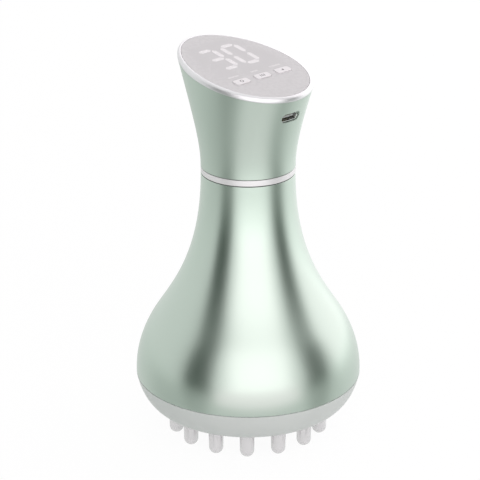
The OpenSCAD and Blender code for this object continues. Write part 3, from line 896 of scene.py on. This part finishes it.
class Finish:
    """One material, built up from nodes round a Principled shader."""

    def __init__(self, name, **settings):
        self.material = bpy.data.materials.new(name)
        self.material.use_nodes = True
        self.tree = self.material.node_tree
        self.shader = self.tree.nodes["Principled BSDF"]
        for name, value in settings.items():
            self.shader.inputs[socket_name(name)].default_value = value
        self.place = self.node("TexCoord", output="Object")

    def node(self, kind, settings=None, inputs=None, output=0):
        """Adds a node: its settings first, then the values or links of its sockets."""
        node = self.tree.nodes.new("ShaderNode" + kind)
        for name, value in (settings or {}).items():
            setattr(node, name, value)
        for name, value in (inputs or {}).items():
            if isinstance(value, Value):
                self.tree.links.new(value.socket, node.inputs[name])
            else:
                node.inputs[name].default_value = value
        return Value(self, node.outputs[output])

    def feed(self, name, value):
        """Links a value or a colour to one of the shader's sockets."""
        self.tree.links.new(value.socket, self.shader.inputs[name])

    def noise(self, size, detail=2, stretch=(1, 1, 1)):
        """Cloudy noise from 0 to 1 whose lumps are about this size, in metres."""
        vector = self.node("Mapping", {}, {"Vector": self.place, "Scale": stretch})
        return self.node("TexNoise", {}, {
            "Vector": vector, "Scale": 1 / size, "Detail": detail})

    def spread(self, value, start, end):
        """0 below the start, 1 above the end, and smooth between."""
        return self.node("MapRange", {"interpolation_type": "SMOOTHSTEP"}, {
            "Value": value, "From Min": start, "From Max": end})

    def mix(self, share, first, second):
        """A colour between two others."""
        return self.node("Mix", {"data_type": "RGBA"}, {
            0: share, 6: full(first), 7: full(second)}, 2)

    def rubbed_edges(self):
        """1 where an outer edge is sharp and the finish is rubbed, else 0."""
        sharp = self.spread(self.node("NewGeometry", output="Pointiness"), 0.51, 0.56)
        return sharp * self.spread(self.noise(1.5 * mm, 3), 0.35, 0.6)

    def bump(self, height, distance):
        """Feeds the shader's normal with a relief this deep, in metres."""
        self.feed("Normal", self.node("Bump", {}, {
            "Height": height, "Distance": distance, "Strength": 1}))

    def axis(self, name):
        """One of the place's coordinates."""
        return self.node("SeparateXYZ", {}, {"Vector": self.place}, name)

    def away(self):
        """The distance from the origin."""
        return self.node("VectorMath", {"operation": "LENGTH"}, {0: self.place}, "Value")

    def blend(self, share, first, second):
        """Mixes two shaders."""
        return self.node("MixShader", {}, {0: share, 1: first, 2: second})

    def plain(self):
        """The Principled shader, to be mixed with others."""
        return Value(self, self.shader.outputs[0])

    def cover(self, shader):
        """Gives the surface this shader instead of the Principled one alone."""
        output = self.tree.nodes["Material Output"]
        self.tree.links.new(shader.socket, output.inputs["Surface"])


def full(colour):
    """A colour with its alpha, where it is written as three numbers."""
    return colour if isinstance(colour, Value) else (*colour, 1)


def shade(colour, amount):
    """A colour made lighter or darker by a factor."""
    return tuple(channel * amount for channel in colour)


def mint_paint():
    """Satin metallic paint: fine flake, faint clouding, and a smoother seam edge that carries a
    painted highlight.
    """
    mint = (0.497, 0.582, 0.518)
    finish = Finish("mint_paint", metallic=1, coat_weight=0.2, coat_roughness=0.2)
    flake = finish.noise(0.12 * mm, 3)
    peel = finish.noise(0.7 * mm)
    cloud = finish.noise(22 * mm)
    height = finish.axis("Z")
    above_waist = finish.spread(height, bell_top, head_z)
    # Painted highlight: the bell's lowest half millimetre at the seam is mixed towards pale grey,
    # broken up by noise, and made smoother.
    painted_seam_highlight = finish.spread(height, seam_z + 0.5 * mm, seam_z + 0.1 * mm)
    painted_seam_highlight = painted_seam_highlight * finish.spread(finish.noise(2 * mm, 3), 0.4, 0.6)
    colour = finish.mix(flake, shade(mint, 0.94), shade(mint, 1.06))
    finish.feed("Base Color", finish.mix(painted_seam_highlight * 0.5, colour, (0.7, 0.73, 0.71)))
    finish.feed("Roughness", 0.28 + 0.03 * cloud + 0.02 * flake + 0.08 * above_waist - 0.06 * painted_seam_highlight)
    finish.bump(0.4 * flake + peel, 0.005 * mm)
    return finish


def silver_trim():
    """Pale satin silver."""
    silver = (0.82, 0.83, 0.825)
    finish = Finish("silver_trim", metallic=0.35)
    grain = finish.noise(0.1 * mm, 2, (1, 1, 6))
    cloud = finish.noise(6 * mm)
    finish.feed("Base Color", finish.mix(cloud, shade(silver, 0.985), shade(silver, 1.015)))
    finish.feed("Roughness", 0.36 + 0.08 * grain)
    finish.bump(grain, 0.001 * mm)
    return finish


def bright_trim():
    """Satin silver with hairline marks."""
    silver = (0.75, 0.75, 0.76)
    finish = Finish("bright_trim", metallic=1)
    cloud = finish.noise(5 * mm, 3)
    hairs = finish.noise(0.08 * mm, 2, (0.15, 1, 1))
    finish.feed("Base Color", finish.mix(cloud, shade(silver, 0.97), shade(silver, 1.02)))
    finish.feed("Roughness", 0.38 + 0.04 * cloud + 0.04 * hairs)
    finish.bump(hairs, 0.0008 * mm)
    return finish


def moulded(name, colour, rough, metallic=0):
    """Moulded plastic or rubber: faint mottling, a fine texture and rubbed edges."""
    finish = Finish(name, metallic=metallic)
    texture = finish.noise(0.25 * mm)
    cloud = finish.noise(9 * mm)
    rubbed = finish.rubbed_edges()
    plain = finish.mix(cloud, shade(colour, 0.99), shade(colour, 1.01))
    finish.feed("Base Color", finish.mix(0.3 * rubbed, plain, shade(colour, 1.12)))
    finish.feed("Roughness", rough - 0.02 + 0.04 * texture - 0.08 * rubbed)
    finish.bump(texture, 0.002 * mm)
    return finish


def metal(name, colour, rough, stretch=(1, 1, 1)):
    """Machined or plated metal: a fine grain and a slightly uneven tone."""
    finish = Finish(name, metallic=1)
    lines = finish.noise(0.15 * mm, 3, stretch)
    cloud = finish.noise(4 * mm, 3)
    finish.feed("Base Color", finish.mix(cloud, shade(colour, 0.9), shade(colour, 1.06)))
    finish.feed("Roughness", rough - 0.05 + 0.12 * lines)
    finish.bump(lines, 0.001 * mm)
    return finish


def turned_steel():
    """Steel faced on a lathe: fine rings about the axis, with a few wiped marks."""
    finish = Finish("plate_steel", metallic=1)
    rings = finish.node("TexNoise", {"noise_dimensions": "1D"}, {
        "W": finish.away(), "Scale": 1 / (0.12 * mm), "Detail": 2})
    wiped = finish.spread(finish.noise(7 * mm, 3, (1, 0.3, 1)), 0.5, 0.75)
    finish.feed("Base Color", finish.mix(rings, (0.6, 0.6, 0.61), (0.7, 0.7, 0.705)))
    finish.feed("Roughness", 0.26 + 0.08 * rings + 0.08 * wiped)
    finish.bump(rings, 0.002 * mm)
    return finish


def winding():
    """Enamelled copper wire, wound in turns along the rotor, with painted shade between the turns.
    """
    finish = Finish("copper_winding", metallic=0.9, coat_weight=0.5, coat_roughness=0.15)
    wires_round = 90
    across = finish.axis("X")
    turn = across.math("ARCTAN2", finish.axis("Y"), across)
    wires = turn.math("SINE", turn * wires_round)
    strand = finish.spread(wires, -0.9, 0.7)
    tone = finish.noise(1.5 * mm)
    copper = finish.mix(tone, (0.5, 0.2, 0.08), (0.68, 0.32, 0.15))
    # The dark copper between the turns is painted shade in the gaps between the wires.
    finish.feed("Base Color", finish.mix(strand, (0.12, 0.04, 0.015), copper))
    finish.feed("Roughness", 0.3 + 0.1 * tone)
    finish.bump(strand, 0.08 * mm)
    return finish


def board():
    """Green solder mask over copper tracks, with tinned dots."""
    finish = Finish("circuit_board", coat_weight=0.3, coat_roughness=0.2)
    cells = finish.node("TexVoronoi", {"distance": "CHEBYCHEV", "feature": "F1"}, {
        "Vector": finish.place, "Scale": 1 / (3 * mm), "Randomness": 0.6})
    track = finish.spread(cells, 0.42, 0.4) * finish.spread(cells, 0.34, 0.36)
    dot = finish.spread(cells, 0.12, 0.1)
    mask = finish.mix(finish.noise(6 * mm), (0.02, 0.13, 0.055), (0.03, 0.17, 0.075))
    traced = finish.mix(track, mask, (0.045, 0.27, 0.11))
    finish.feed("Base Color", finish.mix(dot, traced, (0.72, 0.72, 0.7)))
    finish.feed("Metallic", dot * 0.9)
    finish.feed("Roughness", 0.38 - 0.08 * track)
    finish.bump(track + dot, 0.03 * mm)
    return finish


def cell_sleeve():
    """A blue shrunk sleeve that leaves the cell's steel ends bare."""
    finish = Finish("battery", coat_weight=0.3, coat_roughness=0.25)
    height = finish.axis("Z")
    foot = low("battery_cell").z
    top = high("battery_cell").z
    bare = finish.spread(height, foot + 1.3 * mm, foot + 1.1 * mm)
    bare = bare + finish.spread(height, top - 1.3 * mm, top - 1.1 * mm)
    creases = finish.noise(3 * mm, 3, (1, 1, 0.2))
    sleeve = finish.mix(creases, (0.05, 0.2, 0.42), (0.07, 0.26, 0.5))
    finish.feed("Base Color", finish.mix(bare, sleeve, (0.6, 0.6, 0.62)))
    finish.feed("Metallic", bare)
    finish.feed("Roughness", 0.3 + 0.1 * creases)
    finish.bump(creases, 0.03 * mm)
    return finish


def film_heater():
    """Amber film with an etched track that runs to and fro."""
    finish = Finish("heater", coat_weight=0.4, coat_roughness=0.15)
    along = finish.axis("Y")
    rows = along.math("SINE", along * (2 * math.pi / (1.6 * mm)))
    track = finish.spread(rows, -0.1, 0.1)
    cloud = finish.noise(5 * mm)
    amber = finish.mix(cloud, (0.42, 0.17, 0.03), (0.5, 0.22, 0.05))
    finish.feed("Base Color", finish.mix(track, amber, (0.3, 0.2, 0.12)))
    finish.feed("Roughness", 0.35 + 0.15 * track)
    finish.bump(track, 0.02 * mm)
    return finish


# Studio

camera_place = Vector((-0.5201, -0.5481, 0.3855))
camera_turn = -43.5
camera_down = 21.92
camera_lens = 151.45
camera_shift = -0.01708
lamp_distance = 1.2
card_distance = 0.9
aim = Vector((0, 0, 80 * mm))
fill = 0.55
shadow = 0.08
lit = 0.74
brightest = 2
lamp_pink = (1, 0.9, 0.95)
shade_green = (0.2, 1, 0.5)


def direction(turn, rise):
    """Towards a point of the studio, turned from the camera's side, in degrees."""
    turn = math.radians(camera_turn + turn)
    rise = math.radians(rise)
    return Vector((
        math.sin(turn) * math.cos(rise), -math.cos(turn) * math.cos(rise), math.sin(rise)))


def camera():
    """The camera at the photograph's viewing angle."""
    data = bpy.data.cameras.new("camera")
    data.lens = camera_lens
    data.sensor_width = 36
    data.shift_x = camera_shift
    holder = bpy.data.objects.new("camera", data)
    holder.location = camera_place
    holder.rotation_euler = (math.radians(90 - camera_down), 0, math.radians(camera_turn))
    bpy.context.scene.collection.objects.link(holder)
    bpy.context.scene.camera = holder


def span(angle, distance):
    """The width that spans this angle, in degrees, at a distance."""
    return 2 * distance * math.tan(math.radians(angle / 2))


def softbox(name, turn, rise, width, height, glow, tint):
    """A lamp that spans these angles, seen from the object, with this radiance."""
    data = bpy.data.lights.new(name, "AREA")
    data.color = tint
    data.shape = "RECTANGLE"
    data.size = span(width, lamp_distance)
    data.size_y = span(height, lamp_distance)
    data.energy = glow * math.pi * data.size * data.size_y
    holder = bpy.data.objects.new(name, data)
    way = direction(turn, rise)
    holder.location = aim + lamp_distance * way
    holder.rotation_euler = way.to_track_quat("Z", "Y").to_euler()
    bpy.context.scene.collection.objects.link(holder)


def rise_to_height(rise):
    """The height at which an upright card crosses this rise, in degrees."""
    return aim.z + card_distance * math.tan(math.radians(rise))


def glowing(name, tint, strength):
    """A finish that gives off this much light and reflects none."""
    return Finish(name, base_color=(0, 0, 0, 1), specular_ior_level=0, roughness=1,
                  emission_color=(*tint, 1), emission_strength=strength)


def gauze(name, foot, full, fade, top):
    """Dark gauze: denser from its foot up to full, thinner from fade to its top."""
    finish = glowing(name, shade_green, 0.03)
    height = finish.axis("Z")
    dense = foot[1] + (full[1] - foot[1]) * finish.spread(
        height, rise_to_height(foot[0]), rise_to_height(full[0]))
    thin = 1 - (1 - top[1] / full[1]) * finish.spread(
        height, rise_to_height(fade), rise_to_height(top[0]))
    clear = finish.node("BsdfTransparent")
    finish.cover(finish.blend(dense * thin, clear, finish.plain()))
    return finish


def flat(name, size, finish):
    """A flat square of the studio, lying at the origin."""
    bpy.ops.object.select_all(action="DESELECT")
    bpy.ops.mesh.primitive_plane_add(size=size)
    piece = bpy.context.object
    piece.name = name
    piece.data.materials.append(finish.material)
    return piece


def sheet(name, turn, distance, width, foot, top, finish):
    """An upright sheet that faces the object, which only reflections see."""
    piece = flat(name, 1, finish)
    way = direction(turn, 0)
    upright = way.to_track_quat("Z", "Y").to_matrix().to_4x4()
    centre = distance * way + Vector((0, 0, (foot + top) / 2))
    size = Matrix.Diagonal((width, top - foot, 1, 1))
    piece.data.transform(Matrix.Translation(centre) @ upright @ size)
    piece.visible_camera = False
    piece.visible_diffuse = False
    piece.visible_transmission = False
    piece.visible_shadow = False


def card(name, turn, width, foot, full, fade, top):
    """A dark card beside the object, as beside a photographer's table."""
    wide = span(width, card_distance)
    low_edge = rise_to_height(foot[0])
    high_edge = rise_to_height(top[0])
    cloth = gauze(name, foot, full, fade, top)
    sheet(name, turn, card_distance, wide, low_edge, high_edge, cloth)


def sector(finish, turn, width, soft):
    """1 in the part of the floor that spans these degrees, seen from the bell's side."""
    foot = 40 * mm * direction(turn / 2, 0)
    x = finish.axis("X") - foot.x
    back = foot.y - finish.axis("Y")
    angle = x.math("ARCTAN2", x, back) - math.radians(camera_turn + turn)
    away = angle.math("ABSOLUTE", angle)
    edge = math.radians(width / 2)
    return 1 - finish.spread(away, edge - math.radians(soft), edge + math.radians(soft))


def mirrored_floor(finish):
    """How light the floor looks in reflections.

    It shines below the lamps in front and at the side, stays dark below the cards, and near the
    object on the left it carries a painted shadow of the object.
    """
    far = finish.spread(finish.away(), 60 * mm, 620 * mm)
    front = sector(finish, 10, 80, 14) * 0.82 * far
    side = sector(finish, 138, 78, 12) * (0.1 + 0.5 * far)
    left = sector(finish, -51.5, 32, 5) * (0.3 + 0.6 * far)
    right = sector(finish, 73.5, 30, 6) * (0.38 + 0.54 * far)
    # Painted shadow of the object: the near floor on its left is darker in reflections.
    painted_object_shadow = sector(finish, -84, 56, 16) * 0.2 * (1 - far)
    return (0.86 + 0.1 * far + front + side) * (1 - left) * (1 - right) * (1 - painted_object_shadow)


def studio_floor():
    """A pale floor that shows white to the camera and keeps the object's shadow.

    In full light its paper gives back shadow times lit, and its glow makes up the rest.
    """
    finish = Finish("floor", base_color=(0.9, 0.9, 0.9, 1), roughness=1, specular_ior_level=0)
    seen = finish.node("LightPath", output="Is Camera Ray")
    mirrored = finish.node("LightPath", output="Is Glossy Ray")
    paper = finish.node("BsdfDiffuse", {}, {"Color": (shadow, shadow, shadow, 1)})
    glow = finish.node("Emission", {}, {"Color": (1, 1, 1, 1), "Strength": 1 - shadow * lit})
    shown = finish.node("AddShader", {}, {0: paper, 1: glow})
    dark = finish.node("Emission", {}, {"Color": (0.25, 1, 0.5, 1), "Strength": 0.05})
    bright = finish.node("Emission", {}, {"Strength": brightest})
    graded = finish.blend(mirrored_floor(finish) / brightest, dark, bright)
    reflected = finish.blend(mirrored, finish.plain(), graded)
    finish.cover(finish.blend(seen, reflected, shown))
    flat("floor", 8, finish)


def bounce(name, turn, distance, width, height, glow):
    """A low white card in front that lights the reflections of the table's edge."""
    sheet(name, turn, distance, width, 0, height, glowing(name, lamp_pink, glow))


def surroundings():
    """White to the camera and to reflections, and a dimmer fill for the rest."""
    world = bpy.data.worlds.new("studio")
    world.use_nodes = True
    tree = world.node_tree
    path = tree.nodes.new("ShaderNodeLightPath")
    total = path.outputs["Is Camera Ray"]
    for name in ("Is Glossy Ray", "Is Transmission Ray"):
        either = tree.nodes.new("ShaderNodeMath")
        either.operation = "MAXIMUM"
        tree.links.new(total, either.inputs[0])
        tree.links.new(path.outputs[name], either.inputs[1])
        total = either.outputs[0]
    level = tree.nodes.new("ShaderNodeMapRange")
    level.inputs["To Min"].default_value = fill
    level.inputs["To Max"].default_value = 1
    tree.links.new(total, level.inputs["Value"])
    background = tree.nodes["Background"]
    background.inputs["Color"].default_value = (1, 1, 1, 1)
    tree.links.new(level.outputs[0], background.inputs["Strength"])
    bpy.context.scene.world = world


# Dressing

finishes = {
    "mint_paint": mint_paint(),
    "silver_trim": silver_trim(),
    "bright_trim": bright_trim(),
    "pale_plastic": moulded("pale_plastic", (0.67, 0.725, 0.69), 0.38),
    "panel_plastic": moulded("panel_plastic", (0.715, 0.713, 0.714), 0.42),
    "light_window": moulded("light_window", (0.97, 0.96, 0.965), 0.3),
    "white_plastic": moulded("white_plastic", (0.96, 0.95, 0.955), 0.36),
    "pin_plastic": moulded("pin_plastic", (0.8, 0.785, 0.795), 0.22, 0.6),
    "dark_plastic": moulded("dark_plastic", (0.045, 0.045, 0.05), 0.5),
    "dark_rubber": moulded("dark_rubber", (0.07, 0.08, 0.075), 0.7),
    "frame_plastic": moulded("frame_plastic", (0.6, 0.6, 0.58), 0.5),
    "circuit_board": board(),
    "steel": metal("steel", (0.6, 0.6, 0.61), 0.32),
    "plate_steel": turned_steel(),
    "brass": metal("brass", (0.68, 0.52, 0.24), 0.3, (1, 1, 8)),
    "copper_winding": winding(),
    "magnet": metal("magnet", (0.12, 0.12, 0.13), 0.5),
    "battery": cell_sleeve(),
    "heater": film_heater(),
    "red_wire": moulded("red_wire", (0.55, 0.04, 0.04), 0.4),
    "yellow_wire": moulded("yellow_wire", (0.75, 0.58, 0.08), 0.4),
}

# Pieces that look different from the rest of their slot

own_finish = {
    "indicator_bars": moulded("dim_window", (0.83, 0.82, 0.825), 0.35),
    "base_seal": moulded("pale_rubber", (0.5, 0.57, 0.53), 0.6),
    # The inlet's shell and tongue are lighter than their slots' steel and dark plastic and tinted
    # towards the mint: painted light and painted reflection inside the inlet.
    "inlet_shell": metal("inlet_steel", (0.92, 0.94, 0.93), 0.3),
    "inlet_tongue": moulded("inlet_plastic", (0.42, 0.45, 0.43), 0.35),
    "mark_left": moulded("mark_ink", (0.2, 0.2, 0.2), 0.5),
}
for name in ("mark_middle", "mark_right"):
    own_finish[name] = own_finish["mark_left"]


def belongs(piece, slot, *replaced, body="housing"):
    """Hides the nodes that the piece replaces, attaches it to the body it moves with, and gives it
    its finish.
    """
    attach(piece, body)
    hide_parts(*replaced)
    piece.data.materials.clear()
    finish = own_finish.get(piece.name, finishes[slot])
    piece.data.materials.append(finish.material)


for name, node in nodes.items():
    slot = node.material_slots[0].material.name
    node.material_slots[0].material = own_finish.get(name, finishes[slot]).material

belongs(bell(), "mint_paint", "body_shell")
belongs(head(), "mint_paint", "head_shell")
belongs(rim(), "bright_trim", "top_bezel")
belongs(neck_band(), "silver_trim", "neck_ring")
belongs(dish(), "pale_plastic", "base_cover")
belongs(panel(), "panel_plastic", "top_panel")
belongs(inlet_shell(), "steel", "usb_shell")
belongs(inlet_tongue(), "dark_plastic", "usb_tongue")
belongs(inlet_contacts(), "brass")
belongs(warm_plate(), "plate_steel", "contact_plate")
belongs(dish_screws(), "steel", "base_screws")
for name in key_names:
    belongs(key(name), "white_plastic", "key_" + name, body=name + "_key")
    belongs(key_inlay(name), "dark_plastic", body=name + "_key")
for pin, node in pins():
    belongs(pin, "pin_plastic", node)

camera()
surroundings()
studio_floor()
softbox("front_softbox", 10.5, 16, 83, 62, 0.36, lamp_pink)
softbox("core_softbox", 11.5, 18, 61, 58, 0.66, (1, 0.86, 0.93))
softbox("side_softbox", 140, 19, 86, 58, 0.7, (1, 0.88, 0.94))
bounce("front_bounce", 8.5, 125 * mm, 185 * mm, 34 * mm, 1.5)
card("left_card", -52, 31, foot=(-55, 0.25), full=(-6, 1), fade=40, top=(52, 0.8))
card("right_card", 73.5, 26, foot=(-50, 0.15), full=(-6, 0.95), fade=10, top=(44, 0.45))
bpy.context.scene.view_settings.view_transform = "Standard"
